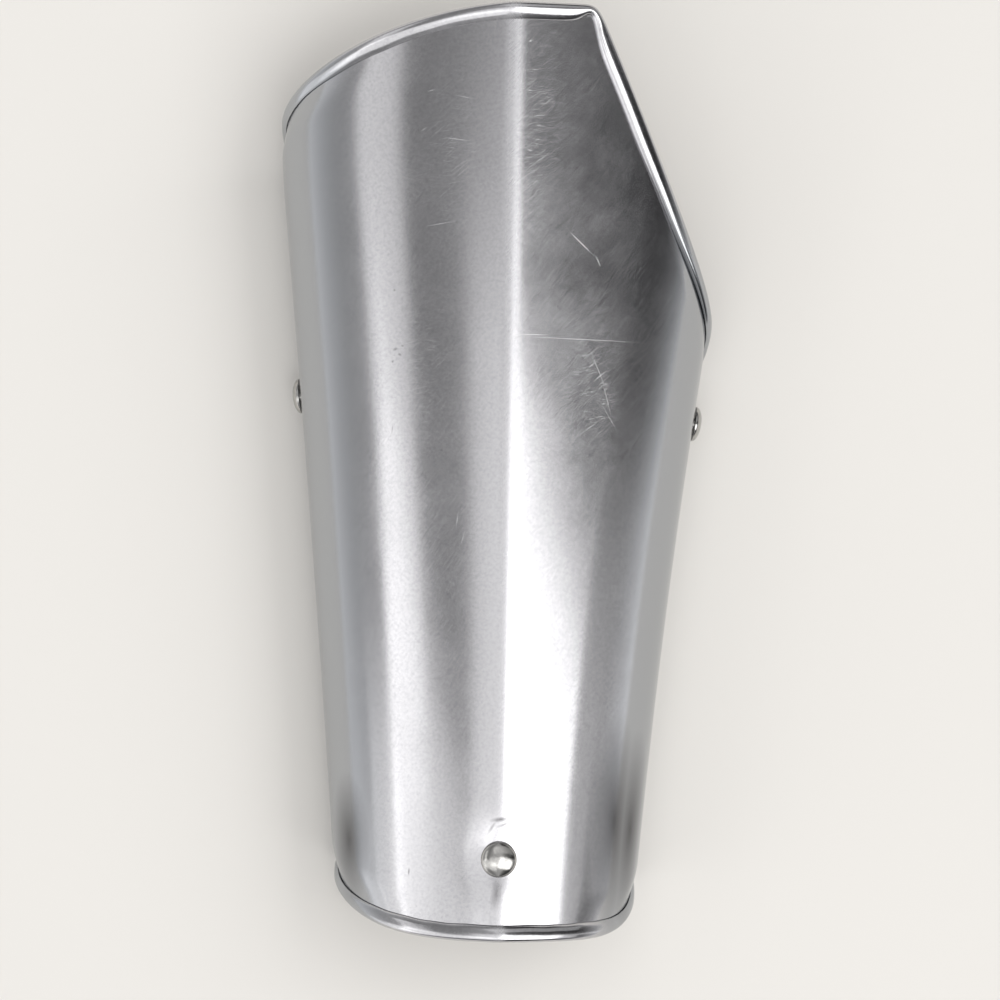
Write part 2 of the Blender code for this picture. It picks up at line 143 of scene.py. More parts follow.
def varied(tree: NodeTree, spots: NodeSocket, middle: float, lowest: float,
           highest: float) -> NodeSocket:
    """A value that strays from its middle with the blobs of a noise."""
    return ranged(tree, spots, 0.3, 0.7, middle + lowest, middle + highest)


def combined(tree: NodeTree, operation: str, *terms: NodeSocket | float,
             clamp: bool = False) -> NodeSocket:
    """Arithmetic on sockets and plain numbers."""
    node = add_node(tree, "Math", {"operation": operation, "use_clamp": clamp})
    for slot, term in zip(node.inputs, terms):
        if isinstance(term, NodeSocket):
            tree.links.new(term, slot)
        else:
            slot.default_value = term
    return node.outputs[0]


def tinted(tree: NodeTree, share: NodeSocket, under: str | NodeSocket,
           over: str) -> NodeSocket:
    """Mixes a colour over another one, which is a hex value or the output of a node."""
    node = add_node(tree, "Mix", {"data_type": "RGBA"}, {0: share})
    if isinstance(under, str):
        node.inputs[6].default_value = linear(under)
    else:
        tree.links.new(under, node.inputs[6])
    node.inputs[7].default_value = linear(over)
    return node.outputs[2]


def new_material(name: str) -> Material:
    """Makes a plain material, named after the finish, with a Principled shader."""
    made = bpy.data.materials.new(name)
    made.use_nodes = True
    return made


def coat(made: Material, colour: str | NodeSocket, rough: float | NodeSocket,
         relief: NodeSocket | None = None, depth: float = 0.0, metallic: float = 0.0) -> Material:
    """Feeds a material's shader.

    Args:
        made: the material.
        colour: a hex value, or the output of a node.
        rough: the roughness, or the output of a node.
        relief: height field of the fine relief, if there is one.
        depth: how deep the relief goes, in metres.
        metallic: one for a metal.

    Returns:
        The same material.
    """
    tree = made.node_tree
    shader = tree.nodes["Principled BSDF"]
    values = {"Base Color": linear(colour) if isinstance(colour, str) else colour, "Roughness": rough,
              "Metallic": metallic}
    if relief is not None:
        values["Normal"] = add_node(tree, "Bump", links={"Height": relief}, Distance=depth).outputs[0]
    for name, value in values.items():
        if isinstance(value, NodeSocket):
            tree.links.new(value, shader.inputs[name])
        else:
            shader.inputs[name].default_value = value
    return made


def finished_object(name: str, shape: BMesh, finish: Material) -> Object:
    """Turns a bmesh into a smooth object at the origin.

    Args:
        name: the piece's name.
        shape: the bmesh, which is freed.
        finish: its material.

    Returns:
        The new object, linked to the scene.
    """
    mesh = bpy.data.meshes.new(name)
    shape.to_mesh(mesh)
    shape.free()
    piece = bpy.data.objects.new(name, mesh)
    bpy.context.scene.collection.objects.link(piece)
    mesh.materials.append(finish)
    mesh.shade_smooth()
    return piece


def thicken(piece: Object, thickness: float, edge_round: float, sharp_angle: float,
            shares: VertexGroup | None = None) -> None:
    """Gives a sheet its thickness and dressed edges, and keeps it on the ground.

    Args:
        piece: the bare sheet, changed in place.
        thickness: of the sheet, half to each side.
        edge_round: radius of the dressed edges.
        sharp_angle: edges bent more than this are shaded sharp.
        shares: group whose weights thin the sheet, if there is one.
    """
    wall = piece.modifiers.new("sheet", "SOLIDIFY")
    wall.vertex_group = shares.name if shares else ""
    wall.thickness = thickness
    wall.offset = 0.0
    wall.use_even_offset = True
    rim = piece.modifiers.new("dressed_edge", "BEVEL")
    rim.width = edge_round
    rim.segments = 3
    rim.limit_method = "ANGLE"
    rim.angle_limit = SHARP_BEVEL
    graph = bpy.context.evaluated_depsgraph_get()
    mesh = bpy.data.meshes.new_from_object(piece.evaluated_get(graph))
    piece.modifiers.clear()
    piece.data = mesh
    mesh.shade_smooth()
    mesh.set_sharp_from_angle(angle=sharp_angle)
    for vertex in mesh.vertices:
        vertex.co.z = max(vertex.co.z, 0.0)


# ---- The plate's form ----

class Side(Enum):
    """The two flanks of the plate, seen with the elbow end up."""

    LONG = -1
    SLANTED = 1


@dataclass
class ShellForm:
    """The bare surface of the plate, by flank, girth from the ridge and station from the wrist."""

    ridge_x: float
    wrist_y: float
    length: float = 0.2667
    wrist_ridge: float = 0.0470
    elbow_ridge: float = 0.0600
    wrist_side: float = 0.0150
    elbow_side: float = 0.0180
    # Half width at the wrist, and how it grows with the station and with the station's square.
    widths: dict = field(default_factory=lambda: {Side.LONG: (0.0478, 0.0745, 0.06),
                                                  Side.SLANTED: (0.0382, 0.0735, 0.215)})
    crest_phase: float = math.radians(25)       # where on the ellipse a flank starts
    crest_radius: float = 0.0024
    lower_wall_radius: float = 0.072
    elbow_pinch: tuple = (0.0054, 0.055)        # how far the long side draws in at the elbow, and from where
    girth_station: float = 0.230        # of the section that lays out the edges
    slant_start: float = 0.0210
    slant_drop: float = 0.1000
    slant_ease: float = 1.65
    corner_radius: float = 0.0007       # of the corner where the slant starts
    elbow_fall: tuple = (0.06, 3.85)    # of the long side's edge, with the girth and with its square
    # Fall of the wrist edge, and the power with which it grows.
    wrist_falls: dict = field(default_factory=lambda: {Side.LONG: (0.0280, 3.2), Side.SLANTED: (0.0300, 5.8)})
    wrist_fall_end: float = 0.87        # share of the girth past which the wrist edge runs straight down
    wrist_fall_ease: float = 0.025
    press_depth: float = 0.0016         # how far the wall steps in under a roll
    slant_press_depth: float = 0.0005
    press_reach: float = 0.011
    press_shares: tuple = (0.35, 0.75)  # shares of the girth over which the step grows in
    rivet_station: float = RIVET_STATION
    seat_crest_radius: float = 0.0050   # the crest is hammered rounder round the wrist rivet
    seat_reach: float = 0.0085
    wave_height: float = 0.00006
    wave_length: float = 0.030
    wave_stretch: float = 0.7           # the waves run longer along the arm
    probe: float = 0.0004               # step over which slopes are taken
    girth_steps: int = 200

    def __post_init__(self) -> None:
        """Works out the girth tables that lay out the edges."""
        self.tables = {side: self.girth_table(side) for side in Side}

    def section(self, side: Side, station: float) -> tuple[float, float, float]:
        """Half axes of the elliptic section and the height of its widest line."""
        share = station / self.length
        ridge = blend(self.wrist_ridge, self.elbow_ridge, share)
        height = blend(self.wrist_side, self.elbow_side, share)
        base, taper, spread = self.widths[side]
        width = base + taper * station + spread * station ** 2
        if side is Side.LONG:
            depth, reach = self.elbow_pinch
            width -= depth * (max(0.0, station - self.length + reach) / reach) ** 2
        return width / (1 - math.sin(self.crest_phase)), (ridge - height) / math.cos(self.crest_phase), height

    def crest_slope(self, side: Side, station: float) -> float:
        """Fall of a flank right beside the ridge."""
        across, rise, _ = self.section(side, station)
        return rise / across * math.tan(self.crest_phase)

    def profile(self, side: Side, station: float, turn: float) -> tuple[float, float]:
        """Distance from the ridge and height, for a turn of 0 at the ridge, 1 at the widest line, 2 below."""
        across, rise, height = self.section(side, station)
        if turn <= 1:
            phase = blend(self.crest_phase, math.pi / 2, turn)
            x = across * (math.sin(phase) - math.sin(self.crest_phase))
            z = height + rise * math.cos(phase)
            slope = self.crest_slope(side, station)
            common = sum(self.crest_slope(flank, station) for flank in Side) / len(Side)
            seat = math.exp(-((station - self.rivet_station) ** 2 + x ** 2) / self.seat_reach ** 2)
            radius = (self.crest_radius + self.seat_crest_radius * seat) * common / slope
            return x, z - slope * (math.hypot(x, radius) - x)
        lean = math.asin(height * (turn - 1) / self.lower_wall_radius)
        x = across * (1 - math.sin(self.crest_phase)) - self.lower_wall_radius * (1 - math.cos(lean))
        return x, height * (2 - turn)

    def girth_table(self, side: Side) -> tuple[list[float], list[float]]:
        """Turns, and the girth up to each, on the section that lays out the edges."""
        turns = [2 * step / self.girth_steps for step in range(self.girth_steps + 1)]
        girths = [0.0]
        last = self.profile(side, self.girth_station, 0.0)
        for turn in turns[1:]:
            point = self.profile(side, self.girth_station, turn)
            girths.append(girths[-1] + math.dist(last, point))
            last = point
        return turns, girths

    def full_girth(self, side: Side) -> float:
        """Girth from the ridge to the long edge."""
        return self.tables[side][1][-1]

    def widest_girth(self, side: Side) -> float:
        """Girth from the ridge to the widest line."""
        turns, girths = self.tables[side]
        return girths[len(turns) // 2]

    def turn_at(self, side: Side, girth: float) -> float:
        """The turn that a girth reaches."""
        turns, girths = self.tables[side]
        if girth >= girths[-1]:
            return 2.0
        high = bisect_right(girths, girth)
        low = high - 1
        return blend(turns[low], turns[high], (girth - girths[low]) / (girths[high] - girths[low]))

    def bare(self, side: Side, girth: float, station: float) -> Vector:
        """A point of the surface without stepped edges or waves, in the plate's own layout."""
        x, z = self.profile(side, station, self.turn_at(side, girth))
        return Vector((side.value * x, station, z))

    def normal(self, side: Side, girth: float, station: float) -> Vector:
        """Outward direction, from the surface's own slopes."""
        step = self.probe
        if girth < step:
            across = Vector((side.value, 0, 0))
        else:
            high = min(girth + step, self.full_girth(side))
            across = self.bare(side, high, station) - self.bare(side, girth - step, station)
        along = self.bare(side, girth, station + step) - self.bare(side, girth, station - step)
        return (across.cross(along) * side.value).normalized()

    def press(self, side: Side, girth: float, station: float) -> float:
        """How far the wall has stepped in under a roll."""
        start, end = self.press_shares
        share = smooth((girth / self.full_girth(side) - start) / (end - start))
        elbow, wrist = self.elbow_station(side, girth) - station, station - self.wrist_station(side, girth)
        slant = side is Side.SLANTED and elbow < wrist
        depth = self.slant_press_depth if slant else self.press_depth
        return depth * share * smooth(1 - min(elbow, wrist) / self.press_reach)

    def point(self, side: Side, girth: float, station: float) -> Vector:
        """A point of the surface with its stepped edges and hand-planished waves."""
        place = self.bare(side, girth, station)
        rise = -self.press(side, girth, station)
        wave = Vector((place.x, place.y * self.wave_stretch, place.z)) / self.wave_length
        rise += self.wave_height * noise.noise(wave)
        return place + self.normal(side, girth, station) * rise

    def elbow_station(self, side: Side, girth: float) -> float:
        """Where the elbow edge lies at a girth."""
        if side is Side.LONG:
            return self.length - self.elbow_fall[0] * girth - self.elbow_fall[1] * girth ** 2
        past = self.corner_radius * softened((girth - self.slant_start) / self.corner_radius)
        share = min(1.0, past / (self.full_girth(side) - self.slant_start))
        return self.length - self.slant_drop * (1 - (1 - share) ** self.slant_ease)

    def wrist_station(self, side: Side, girth: float) -> float:
        """Where the wrist edge lies at a girth."""
        fall, power = self.wrist_falls[side]
        short = (self.wrist_fall_end - girth / self.full_girth(side)) / self.wrist_fall_ease
        return fall * max(0.0, self.wrist_fall_end - self.wrist_fall_ease * softened(short)) ** power

    def placed(self, place: Vector) -> Vector:
        """Moves a point from the plate's own layout to where the frame has it."""
        return place + Vector((self.ridge_x, self.wrist_y, 0))


# ---- Finishes ----

@dataclass(frozen=True)
class Scratch:
    """One mark in the unrolled sheet: girth from the ridge, station from the wrist, and its run."""

    girth: float        # mm, positive on the slanted side
    station: float      # mm
    length: float       # mm
    angle: float        # degrees from the girth direction towards the elbow
    width: float        # mm
    strength: float


# The scratches that a viewer would notice: ticks beside the crest, one long fine line across the slanted
# flank, and crossed marks where the forearm rubs.
SCRATCHES = [Scratch(*row) for row in (
    (4.2, 257, 2.2, 12, 0.3, 0.4), (5.6, 249, 2.8, -8, 0.25, 0.35), (4.4, 243, 1.6, 5, 0.3, 0.45),
    (7.0, 236, 3.2, 15, 0.25, 0.35), (4.9, 226, 2.0, -4, 0.3, 0.4), (8.2, 219, 2.6, 8, 0.25, 0.3),
    (22, 200, 11, -38, 0.4, 0.6), (28, 195, 5, -60, 0.3, 0.5),
    (26, 172.5, 56, -1.0, 0.20, 0.5), (8, 173.5, 10, 1, 0.25, 0.5),
    (31, 164, 20, -57, 0.25, 0.4), (35, 156, 15, -66, 0.25, 0.4),
    (37, 150, 17, -48, 0.25, 0.35), (29, 147, 10, 30, 0.25, 0.35),
    (-24, 243, 3.0, 15, 0.35, 0.5), (-14, 241, 7, -12, 0.3, 0.4),
    (-16, 229, 9, -7, 0.35, 0.55), (-26, 232, 3, 28, 0.3, 0.4), (-21, 205, 12, 9, 0.3, 0.45),
    (-17, 120, 7, 80, 0.25, 0.4), (-15, 115, 5, 68, 0.25, 0.4),
    (16, 92, 9, 70, 0.25, 0.4), (24, 70, 6, 50, 0.25, 0.4),
)]

# Where fine hair scratches gather, and their directions in degrees, lengths and widths in mm.
RUBS = [Scratch(*row) for row in (
    (7, 232, 84, 88, 18, 0.75), (-17, 226, 70, 92, 26, 0.7), (32, 160, 60, 108, 32, 0.7),
    (-27, 165, 60, 90, 30, 0.5), (20, 88, 60, 84, 24, 0.45),
)]
HAIRS = ((-12, 8, 0.20), (7, 6, 0.18), (-38, 10, 0.20))

# Dark specks and smudges: real pits on the long side, and painted shade: dark smudges over the hammered seat
# above the wrist rivet, big soft dark patches in the corners of the wrist, and the dark crease below the
# wrist rivet.
PITS_AND_PAINTED_SHADE = [Scratch(*row) for row in (
    # painted shade: dark smudges over the hammered seat above the wrist rivet
    (-0.5, 34.2, 10, 6, 1.8, 0.75), (1.0, 32.8, 7, 16, 1.2, 0.6), (-4.0, 31.8, 6, 50, 1.4, 0.5),
    (-37, 169, 2.2, 20, 1.0, 0.5), (-35.5, 167.5, 1.6, -30, 0.9, 0.5),
    (-38, 165.5, 1.2, 60, 0.7, 0.6), (-34.5, 170, 1.0, 0, 0.7, 0.5),
    (-36.5, 186, 0.9, 0, 0.7, 0.6), (-38, 18, 2.6, 80, 0.8, 0.8), (-39, 146, 3.5, 80, 0.5, 0.4),
    (-22, 140, 0.7, 0, 0.6, 0.5), (12, 205, 0.8, 0, 0.6, 0.5),
    # painted shade: big soft dark patches in the corners of the wrist, where the flared walls shade
    (-66, 26, 40, 86, 22, 0.75), (56, 33, 66, 94, 24, 0.85), (67, 30, 60, 92, 24, 0.8),
    # painted shade: the dark crease below the wrist rivet, standing in for its dark reflection
    (-2.0, 12.5, 11, 78, 5.0, 0.5),
)]


@dataclass(frozen=True)
class PolishedMildSteel:
    """Mild steel sheet, ground and polished with fine abrasive: a bright satin mirror.

    The grain is drawn a little coarser than real grit marks, so that it shows.
    """

    name: str = "polished_mild_steel"
    colour: str = "c5c4c6"
    stained: str = "b9b8bb"
    dull: str = "aeb0b3"
    # colour of the pits and of the painted shade
    pit_and_shade_colour: str = "3c3a3a"
    bare: str = "efefef"                # fresh metal in the scratches
    dull_from: float = 42 * MM          # girth where the flanks' darker colour begins and is complete
    dull_to: float = 62 * MM
    roughness: float = 0.15
    blotch_roughness: tuple = (-0.015, 0.02)
    grain_roughness: float = 0.03
    scratch_roughness: float = 0.40
    crest_wear_from: float = 0.8 * MM   # girth over which the crest, scuffed dull, turns into the flanks
    crest_wear_to: float = 3.8 * MM
    crest_roughness: float = 0.13
    grain_length: float = 7.0 * MM
    grain_width: float = 0.22 * MM
    grain_angles: tuple = (-52, 34)     # degrees, the strokes cross each other
    cross_share: float = 0.3
    blotch_size: float = 16 * MM
    blotch_rub: tuple = (0.45, 0.65, 0.0, 0.12)     # blotches that gather a few hairs too
    hair_range: tuple = (0.69, 0.79, 0.0, 0.42)     # the thin tops of the streaks are the hairs
    mottle_size: float = 0.9 * MM
    grain_depth: float = 0.45e-6

    def grain(self, tree: NodeTree, sheet: NodeSocket, angle: float,
              length: float, width: float, detail: float = 2.0) -> NodeSocket:
        """Streaks of one direction."""
        turned = add_node(tree, "Mapping", links={"Vector": sheet}, Rotation=(0, 0, math.radians(angle)))
        stretched = add_node(tree, "VectorMath", {"operation": "MULTIPLY"}, {0: turned.outputs[0]})
        stretched.inputs[1].default_value = (1 / length, 1 / width, 0)
        return noise_field(tree, stretched.outputs[0], 1.0, detail, 0.6)

    def spindles(self, tree: NodeTree, sheet: NodeSocket,
                 marks: Sequence[Scratch]) -> NodeSocket:
        """Mask of single marks, each a thin spindle."""
        total = None
        for mark in marks:
            spindle = add_node(tree, "Mapping", {"vector_type": "TEXTURE"}, {"Vector": sheet},
                               Location=(mark.girth * MM, mark.station * MM, 0),
                               Rotation=(0, 0, math.radians(mark.angle)),
                               Scale=(mark.length * MM / 2, mark.width * MM / 2, 1))
            reach = add_node(tree, "VectorMath", {"operation": "LENGTH"}, {0: spindle.outputs[0]})
            mask = ranged(tree, reach.outputs["Value"], 1.0, 0.0, 0.0, mark.strength)
            total = mask if total is None else combined(tree, "MAXIMUM", total, mask)
        return total

    def build(self) -> Material:
        """Builds the node tree.

        Returns:
            The material.
        """
        made = new_material(self.name)
        tree = made.node_tree
        place = add_node(tree, "TexCoord").outputs["Object"]
        sheet = add_node(tree, "UVMap", {"uv_map": "unrolled"}).outputs[0]
        blotch = noise_field(tree, place, self.blotch_size, 4.0, 0.6)
        mottle = noise_field(tree, place, self.mottle_size, 3.0, 0.7)
        strokes = [self.grain(tree, sheet, angle, self.grain_length, self.grain_width)
                   for angle in self.grain_angles]
        crossed = add_node(tree, "Mix", None, {2: strokes[0], 3: strokes[1]}, Factor=self.cross_share)
        fine = ranged(tree, crossed.outputs[0], 0.35, 0.65, -1.0, 1.0)

        rubbed = combined(tree, "MAXIMUM", ranged(tree, blotch, *self.blotch_rub),
                          self.spindles(tree, sheet, RUBS))
        marks = self.spindles(tree, sheet, SCRATCHES)
        for angle, length, width in HAIRS:
            streaks = self.grain(tree, sheet, angle, length * MM, width * MM, 0.0)
            hair = combined(tree, "MULTIPLY", ranged(tree, streaks, *self.hair_range), rubbed)
            marks = combined(tree, "MAXIMUM", marks, hair)

        girth = add_node(tree, "SeparateXYZ", links={0: sheet}).outputs["X"]
        girth = combined(tree, "ABSOLUTE", girth)
        rough = varied(tree, blotch, self.roughness, *self.blotch_roughness)
        rough = combined(tree, "MULTIPLY_ADD", fine, self.grain_roughness, rough)
        rough = combined(tree, "MULTIPLY_ADD", marks, self.scratch_roughness, rough, clamp=True)
        crest = ranged(tree, girth, self.crest_wear_from, self.crest_wear_to, self.crest_roughness, 0.0, True)
        rough = combined(tree, "ADD", rough, crest)

        colour = tinted(tree, ranged(tree, mottle, 0.42, 0.75), self.colour, self.stained)
        flank = ranged(tree, girth, self.dull_from, self.dull_to, eased=True)
        colour = tinted(tree, flank, colour, self.dull)
        # real pits, and painted shade round the wrist rivet and in the corners of the wrist
        colour = tinted(tree, self.spindles(tree, sheet, PITS_AND_PAINTED_SHADE), colour, self.pit_and_shade_colour)
        colour = tinted(tree, marks, colour, self.bare)
        return coat(made, colour, rough, fine, self.grain_depth, metallic=1.0)


@dataclass(frozen=True)
class WornSteel:
    """Plainly polished steel whose gloss varies in small spots."""

    name: str
    colour: str
    roughness: float
    glossier: float
    duller: float
    spot: float
    detail: float
    worn: str = ""          # colour of the spots, if it is another one
    dent_depth: float = 0.0

    def build(self) -> Material:
        """Builds the node tree.

        Returns:
            The material.
        """
        made = new_material(self.name)
        tree = made.node_tree
        place = add_node(tree, "TexCoord").outputs["Object"]
        spots = noise_field(tree, place, self.spot, self.detail)
        rough = varied(tree, spots, self.roughness, -self.glossier, self.duller)
        colour = tinted(tree, spots, self.colour, self.worn) if self.worn else self.colour
        return coat(made, colour, rough, spots if self.dent_depth else None, self.dent_depth, metallic=1.0)


# Bright steel of the domed rivets, burnished by the setting tool, and the duller drawn wire of the buckles.
RIVET_STEEL = WornSteel("burnished_rivet_steel", "cfcdc9", 0.14, 0.04, 0.12, 1.6 * MM, 5.0, "9b9a98", 8e-6)
BUCKLE_STEEL = WornSteel("dull_buckle_steel", "b4b2ae", 0.30, 0.06, 0.12, 2.5 * MM, 4.0)


@dataclass(frozen=True)
class StrapLeather:
    """Vegetable-tanned strap leather, oiled dark brown: matt, with fine pores and creases."""

    name: str = "oiled_strap_leather"
    colour: str = "5a3c28"
    dark: str = "3a2517"
    roughness: float = 0.55
    pore_size: float = 0.7 * MM
    pore_depth: float = 0.12 * MM
    cloud_size: float = 12 * MM

    def build(self) -> Material:
        """Builds the node tree.

        Returns:
            The material.
        """
        made = new_material(self.name)
        tree = made.node_tree
        place = add_node(tree, "TexCoord").outputs["Object"]
        cloud = noise_field(tree, place, self.cloud_size, 5.0, 0.6)
        pores = add_node(tree, "TexVoronoi", {"feature": "DISTANCE_TO_EDGE"}, {"Vector": place},
                         Scale=1 / self.pore_size).outputs["Distance"]
        return coat(made, tinted(tree, cloud, self.dark, self.colour),
                    varied(tree, cloud, self.roughness, -0.08, 0.1), pores, self.pore_depth)


# ---- The plate ----

@dataclass
class Plate:
    """The steel sheet: a warped grid whose end rows fold over outwards into the rolled edges."""

    form: ShellForm
    sheet: float = 0.0012
    roll_radius: float = 0.0008
    roll_leg: float = 0.0036
    elbow_leg_slopes: tuple = (-8, -4, 0, 3, 6, 9, 12, 20)      # degrees, from the fold to the free edge
    slant_leg_slopes: tuple = (-17, -14, -11, -8, -4, 1, 7, 14)
    low_slant_slopes: tuple = (-15, -13, -11, -8, -5, -3, 1, 6)        # where the slant runs down the side
    low_slant_from: float = 0.030           # girth
    low_slant_reach: float = 0.020
    wrist_leg_slopes: tuple = (-9, -6, -4, -3, -2, -1, 1, 8)
    elbow_closing: float = 2.0              # how late along the leg it closes down on to the wall
    wrist_closing: float = 4.5
    slant_closing: float = 4.0
    low_slant_closing: float = 6.5
    leg_taper: tuple = (0.45, 0.85, 0.45)   # shares of the girth between which a leg shortens, and to what
    leg_play: float = 0.00005           # between the free edge and the wall
    free_edge_share: float = 0.2        # the free edge of a roll is filed to this share of the sheet
    hammer_share: float = 0.07          # how far the free edge of a roll strays, of its leg
    hammer_length: float = 9.0 * MM
    hammer_seeds: tuple = (2.1, 7.3)    # of the wrist's and the elbow's roll
    roll_notch: float = 0.0022          # how much shorter the leg is at the corner of the slant
    roll_notch_spread: float = 0.0035
    slant_turn_reach: float = 0.004
    crest_girths: tuple = (0.0, 0.0004, 0.0008, 0.0013, 0.0019, 0.0027, 0.0038, 0.0050)     # first columns
    columns_per_side: int = 84
    inner_columns: int = 18             # between the crest and the corner of the slant
    corner_columns: int = 16
    corner_spread: float = 0.0030       # girth to each side of the corner that its columns cover
    wall_rows: int = 110
    arc_rows: int = 9
    leg_rows: int = 8
    edge_round: float = 0.00022
    probe: float = 0.0003               # step over which slopes are taken

    @property
    def roll_rows(self) -> int:
        """Rows of the grid in one rolled edge."""
        return self.arc_rows + self.leg_rows

    def column_girths(self, side: Side) -> list[float]:
        """Girths of the grid's columns from the ridge out, close together at ridge and corner."""
        full = self.form.full_girth(side)
        *crest, start = self.crest_girths
        if side is Side.LONG:
            count = self.columns_per_side
            return crest + [start + (full - start) * index / count for index in range(count + 1)]
        inner, corner = self.inner_columns, self.corner_columns
        outer = self.columns_per_side - inner - corner
        first, last = (self.form.slant_start + sign * self.corner_spread for sign in (-1, 1))
        girths = crest + [start + (first - start) * index / inner for index in range(inner)]
        girths += [blend(first, last, index / corner) for index in range(corner)]
        return girths + [last + (full - last) * index / outer for index in range(outer + 1)]

    def roll_profile(self, side: Side, girth: float, at_wrist: bool) -> list[tuple[float, float]]:
        """Steps of the outward fold from the edge, closed down on to the wall.

        Args:
            side: the flank.
            girth: girth of the column.
            at_wrist: whether the roll is the wrist's, which has no notched corner.

        Returns:
            For each row, the run along the sheet and the rise out of it.
        """
        form, slanted = self.form, side is Side.SLANTED and not at_wrist
        begin, end, shortest = self.leg_taper
        tapered = smooth((girth / form.full_girth(side) - begin) / (end - begin))
        seed = self.hammer_seeds[0 if at_wrist else 1]
        leg = self.roll_leg * blend(1.0, shortest, tapered)
        leg *= 1 + self.hammer_share * noise.noise(Vector((girth / self.hammer_length, seed, 0)))
        degrees = self.wrist_leg_slopes if at_wrist else self.elbow_leg_slopes
        if slanted:
            leg -= self.roll_notch * math.exp(-((girth - form.slant_start) / self.roll_notch_spread) ** 2)
            turned = smooth((girth - form.slant_start) / self.slant_turn_reach)
            degrees = [blend(*pair, turned) for pair in zip(degrees, self.slant_leg_slopes)]
            lowered = smooth((girth - self.low_slant_from) / self.low_slant_reach)
            degrees = [blend(*pair, lowered) for pair in zip(degrees, self.low_slant_slopes)]
        slopes = [math.radians(degree) for degree in degrees]
        steps = []
        for index in range(1, self.arc_rows + 1):
            angle = (math.pi + slopes[0]) * index / self.arc_rows
            steps.append((self.roll_radius * math.sin(angle), self.roll_radius * (1 - math.cos(angle))))
        run, rise = steps[-1]
        for slope in slopes:
            run -= leg / self.leg_rows * math.cos(slope)
            rise -= leg / self.leg_rows * math.sin(slope)
            steps.append((run, rise))
        edge = form.wrist_station(side, girth) if at_wrist else form.elbow_station(side, girth)
        foot = edge - run if at_wrist else edge + run
        wall = form.press(side, girth, edge) - form.press(side, girth, foot)
        over = rise - wall - self.sheet / 2 * (1 + self.free_edge_share) - self.leg_play
        closing = self.wrist_closing if at_wrist else self.elbow_closing
        if slanted:
            closing = blend(blend(closing, self.slant_closing, turned), self.low_slant_closing, lowered)
        for index in range(1, self.leg_rows + 1):
            run, rise = steps[self.arc_rows + index - 1]
            steps[self.arc_rows + index - 1] = (run, rise - over * (index / self.leg_rows) ** closing)
        return steps

    def edge_frame(self, side: Side, girth: float, edge: Callable[[Side, float], float],
                   outwards: int) -> tuple[Vector, Vector, Vector]:
        """Finds the directions at an edge.

        Args:
            side: the flank.
            girth: girth of the column.
            edge: gives the edge's station at a girth.
            outwards: +1 at the elbow, -1 at the wrist.

        Returns:
            The point on the edge, the direction off the sheet, and the outward normal.
        """
        form, step = self.form, self.probe
        station = edge(side, girth)
        place = form.point(side, girth, station)
        up = (form.point(side, girth, station + step) - form.point(side, girth, station - step)).normalized()
        if girth < step:
            tangent, across = Vector((1, 0, 0)), Vector((side.value, 0, 0))
        else:
            high = min(girth + step, form.full_girth(side))
            low = girth - step
            tangent = form.point(side, high, edge(side, high)) - form.point(side, low, edge(side, low))
            across = form.point(side, high, station) - form.point(side, low, station)
        normal = (across.cross(up) * side.value).normalized()
        off = normal.cross(tangent).normalized()
        if off.dot(up) * outwards < 0:
            off.negate()
        return place, off, normal

    def grid_point(self, side: Side, girth: float, row: int) -> Vector:
        """Grid point of a column, with rows from the wrist fold's free end to the elbow fold's."""
        rolls = self.roll_rows
        if rolls <= row <= rolls + self.wall_rows:
            low, high = self.form.wrist_station(side, girth), self.form.elbow_station(side, girth)
            return self.form.point(side, girth, blend(low, high, (row - rolls) / self.wall_rows))
        if row < rolls:
            place, off, normal = self.edge_frame(side, girth, self.form.wrist_station, -1)
            run, rise = self.roll_profile(side, girth, True)[rolls - 1 - row]
        else:
            place, off, normal = self.edge_frame(side, girth, self.form.elbow_station, 1)
            run, rise = self.roll_profile(side, girth, False)[row - rolls - self.wall_rows - 1]
        return place + off * run + normal * rise

    def leg_share(self, row: int) -> float:
        """How far along a roll's folded strip a row lies: nought on the wall, one at the free edge."""
        to_free_edge = min(row, self.wall_rows + 2 * self.roll_rows - row)
        return max(0.0, 1 - to_free_edge / self.leg_rows)

    def build(self, finish: Material) -> Object:
        """Builds the sheet.

        Args:
            finish: the steel.

        Returns:
            The piece.
        """
        columns = [(Side.LONG, girth) for girth in reversed(self.column_girths(Side.LONG)[1:])]
        columns += [(Side.SLANTED, girth) for girth in self.column_girths(Side.SLANTED)]
        across, rows = len(columns) - 1, self.wall_rows + 2 * self.roll_rows
        grid = bmesh.new()
        bmesh.ops.create_grid(grid, x_segments=across, y_segments=rows, size=0.5)
        unrolled = grid.loops.layers.uv.new("unrolled")
        grid.verts.index_update()
        row_of = {}
        for vertex in grid.verts:
            side, girth = columns[round((vertex.co.x + 0.5) * across)]
            row = round((vertex.co.y + 0.5) * rows)
            row_of[vertex.index] = row
            vertex.co = self.form.placed(self.grid_point(side, girth, row))
            station = vertex.co.y - self.form.wrist_y
            if row > self.roll_rows + self.wall_rows:
                station = 2 * self.form.length - station
            for loop in vertex.link_loops:
                loop[unrolled].uv = (side.value * girth, station)
        bmesh.ops.recalc_face_normals(grid, faces=grid.faces)
        if sum(face.normal.z * face.calc_area() for face in grid.faces) < 0:
            bmesh.ops.reverse_faces(grid, faces=grid.faces)
        legs = [(vertex.index, self.leg_share(row_of[vertex.index])) for vertex in grid.verts]
        plate = finished_object("plate_sheet", grid, finish)
        filed = plate.vertex_groups.new(name="filed_edges")
        for index, share in legs:
            filed.add([index], blend(1.0, self.free_edge_share, share), "REPLACE")
        thicken(plate, self.sheet, self.edge_round, SHARP_STEEL, filed)
        return plate


# ---- Rivets ----

